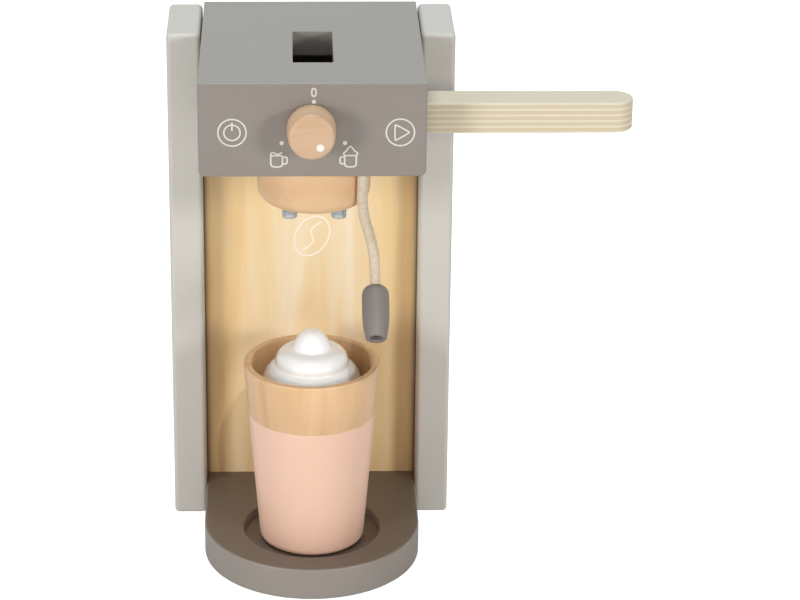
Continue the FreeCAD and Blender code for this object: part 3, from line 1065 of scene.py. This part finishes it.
def makePrints():
    look = printShape
    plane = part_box("head_front_board")[0].y
    ink = padPrint("paleInk", *look["ink"])
    tick = [(0, 0.9), (0, 2.9), (0, 5.0)]
    triangle = doubled([(-2.5, 4.05), (4.5, 0.0), (-2.5, -4.2)])
    wave = [(-2.7, 2.75), (-2.75, 3.9), (-1.7, 4.5), (-0.2, 3.5), (1.2, 3.5), (2.6, 4.4)]
    cream = [(-2.5, 2.75), (-3.4, 3.4), (-2.9, 4.3), (-1.9, 4.9), (-1.4, 6.0), (-0.1, 7.6),
             (1.2, 6.1), (1.9, 5.0), (3.0, 4.4), (3.5, 3.4), (2.5, 2.75)]
    zeroX, zeroZ = look["zero"]
    halfX, halfZ = look["zeroHalf"]
    zero = [
        (zeroX + halfX * x, zeroZ + halfZ * z)
        for x, z in ((1.15, 0.45), (0.75, 1.2), (-0.75, 1.2), (-1.15, 0.45), (-1.15, -0.45),
                     (-0.75, -1.2), (0.75, -1.2), (1.15, -0.45))
    ]
    prints = {
        "powerPrint": [
            (circlePoints(look["power"], look["ringRadius"]), True),
            (circlePoints(look["power"], look["innerRadius"]), True),
            (moved(tick, look["power"]), False),
        ],
        "playPrint": [
            (circlePoints(look["play"], look["ringRadius"]), True),
            (moved(triangle, look["play"]), True),
        ],
        "zeroPrint": [(zero, True)],
        "cupPrint": mugStrokes(look["cup"], 1) + [(moved(wave, look["cup"]), False)],
        "creamCupPrint": mugStrokes(look["creamCup"], -1) + [
            (moved(cream, look["creamCup"]), False)
        ],
    }
    for name, strokes in prints.items():
        piece = strokeCurve(name, strokes, plane, look["stroke"], look["thickness"])
        dress(piece, "root", None, ink)
    dots = printedDots(
        "dotPrints", [(x * mm, z * mm) for x, z in look["dots"]], plane,
        look["dotRadius"] * mm, look["thickness"],
    )
    dress(dots, "root", None, ink)
    report("prints laid on the head")


# A plain coffee bean on the back panel

beanShape = {
    "centre": (0.6, 147.7),      # millimetres
    "half": (8.4, 11.6),
    "lean": 28.0,                # degrees
    "outlinePoints": 12,
    "fold": [                    # shares of the half width and half height
        (0.10, 0.80), (-0.12, 0.55), (-0.26, 0.20), (0.02, 0.0), (0.26, -0.20), (0.12, -0.55),
        (-0.10, -0.80),
    ],
    "stroke": 1.0 * mm,
    "thickness": 0.08 * mm,
    "ink": ("fff4e4", "fbebd6"),
}


def makeBean():
    look = beanShape
    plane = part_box("back_panel")[0].y
    lean = math.radians(look["lean"])

    def leaned(x, z):
        return (
            look["centre"][0] + x * math.cos(lean) + z * math.sin(lean),
            look["centre"][1] - x * math.sin(lean) + z * math.cos(lean),
        )

    halfX, halfZ = look["half"]
    count = look["outlinePoints"]
    outline = [
        leaned(halfX * math.cos(2 * math.pi * i / count), halfZ * math.sin(2 * math.pi * i / count))
        for i in range(count)
    ]
    fold = [leaned(x * halfX, z * halfZ) for x, z in look["fold"]]
    piece = strokeCurve(
        "beanPrint", [(outline, True), (fold, False)], plane, look["stroke"], look["thickness"]
    )
    dress(piece, "root", None, padPrint("creamInk", *look["ink"]))
    report("bean printed")


# Boards and small parts whose CAD shape is right get their finish

def dressBoards():
    greyPaint = paintedBoard("satinGreyBoard", paint["grey"], "Z")
    taupeAcross = paintedBoard("satinTaupeBoard", paint["taupe"], "X")
    steel = zincSteel()
    pale = turnedBeech("beechDowel", "X")
    finishes = {
        "base_plate": paintedBoard("satinTaupeBase", paint["base"], "X"),
        "left_side_panel": greyPaint,
        "right_side_panel": greyPaint,
        "back_panel": varnishedLime(),
        "head_front_board": paintedBoard("satinTaupeFacePaintedLightTop", paint["face"], "X"),
        "head_top_board": paintedBoard("satinTaupeRoofPaintedLight", paint["roof"], "X"),
        "head_left_wall": taupeAcross,
        "head_right_wall": taupeAcross,
        "head_floor_board": taupeAcross,
        "head_back_board": taupeAcross,
        "back_board_screws": steel,
        "base_dowels": pale,
        "head_dowels": pale,
        "knob_washer": steel,
        "knob_screw": steel,
        "lever_handle": sandedPlywood(),
        "pivot_dowel": pale,
        "lever_washer": pale,
        "cord_knot": braidedCotton(),
    }
    for name, material in finishes.items():
        node = nodes[name]
        node.data.materials.clear()
        node.data.materials.append(material)
    report("boards finished")


# Studio: pale floor, white surroundings and soft lamps

studio = {
    "floorSize": 6.0,
    "floorColour": "f4f4f4",
    "floorLift": 0.8,
    "ambient": 0.17,
    "lamps": [
        # name, place, size, power in watts, colour
        ("leftSoftbox", (-1.25, -1.35, 0.50), 0.5, 14.0, (1.0, 0.985, 0.96)),
        ("rightSoftbox", (1.25, -1.35, 0.62), 0.35, 12.5, (1.0, 0.985, 0.96)),
        ("frontFill", (0.0, -1.9, 0.40), 0.9, 4.0, (1.0, 1.0, 1.0)),
        ("topSoftbox", (-0.1, 0.15, 1.5), 0.9, 11.5, (0.90, 0.965, 1.0)),
    ],
    "kicker": {                  # a narrow lamp on the cream and into the cup
        "place": (0.10, -0.62, 0.74), "aim": (0.003, -0.050, 0.113), "power": 6.5,
        "cone": 5.6, "blend": 0.5,
    },
    "target": (0.0, -0.02, 0.13),
}


def makeFloor():
    look = studio
    deselectAll()
    bpy.ops.mesh.primitive_plane_add(size=look["floorSize"], location=(0, 0, 0))
    floor = bpy.context.object
    floor.name = "studioFloor"
    material = newMaterial("studioFloor")
    path = addNode(material, "ShaderNodeLightPath")
    seen = calculate(material, "MULTIPLY", path.outputs["Is Camera Ray"], look["floorLift"])
    paper = addNode(
        material, "ShaderNodeBsdfDiffuse", {"Color": linearColour(look["floorColour"])}
    )
    glow = addNode(
        material, "ShaderNodeEmission", {"Color": (1, 1, 1, 1)}, {"Strength": seen}
    )
    both = addNode(
        material, "ShaderNodeAddShader", links={0: paper.outputs[0], 1: glow.outputs[0]}
    )
    addNode(material, "ShaderNodeOutputMaterial", links={"Surface": both.outputs[0]})
    floor.data.materials.append(material)


def makeWorld():
    world = bpy.data.worlds.new("studioWorld")
    bpy.context.scene.world = world
    world.use_nodes = True
    world.node_tree.nodes.clear()
    path = addNode(world, "ShaderNodeLightPath")
    direct = calculate(
        world, "MAXIMUM", path.outputs["Is Camera Ray"], path.outputs["Is Glossy Ray"]
    )
    seen = calculate(world, "MAXIMUM", direct, path.outputs["Is Transmission Ray"])
    strength = remap(world, seen, to=(studio["ambient"], 1.0))
    sky = addNode(
        world, "ShaderNodeBackground", {"Color": (1, 1, 1, 1)},
        {"Strength": strength},
    )
    addNode(world, "ShaderNodeOutputWorld", links={"Surface": sky.outputs[0]})


def makeLamps():
    target = Vector(studio["target"])
    for name, place, size, power, colour in studio["lamps"]:
        deselectAll()
        bpy.ops.object.light_add(type="AREA", location=place)
        lamp = bpy.context.object
        lamp.name = name
        lamp.data.size = size
        lamp.data.energy = power
        lamp.data.color = colour
        lamp.rotation_euler = (target - lamp.location).to_track_quat("-Z", "Y").to_euler()
    kicker = studio["kicker"]
    deselectAll()
    bpy.ops.object.light_add(type="SPOT", location=kicker["place"])
    lamp = bpy.context.object
    lamp.name = "creamKicker"
    lamp.data.energy = kicker["power"]
    lamp.data.spot_size = math.radians(kicker["cone"])
    lamp.data.spot_blend = kicker["blend"]
    aim = Vector(kicker["aim"]) - lamp.location
    lamp.rotation_euler = aim.to_track_quat("-Z", "Y").to_euler()
    report("studio lit")


bpy.context.scene.view_settings.view_transform = "Standard"
makeCamera()
nozzlePiece = makeNozzle()
makeCord()
dressBoards()
makeKnob()
makeGroupHead()
makeSpouts()
makeCup()
makeCream()
makePrints()
makeBean()
makeFloor()
makeWorld()
makeLamps()

deselectAll()
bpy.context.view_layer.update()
report("sizes written")
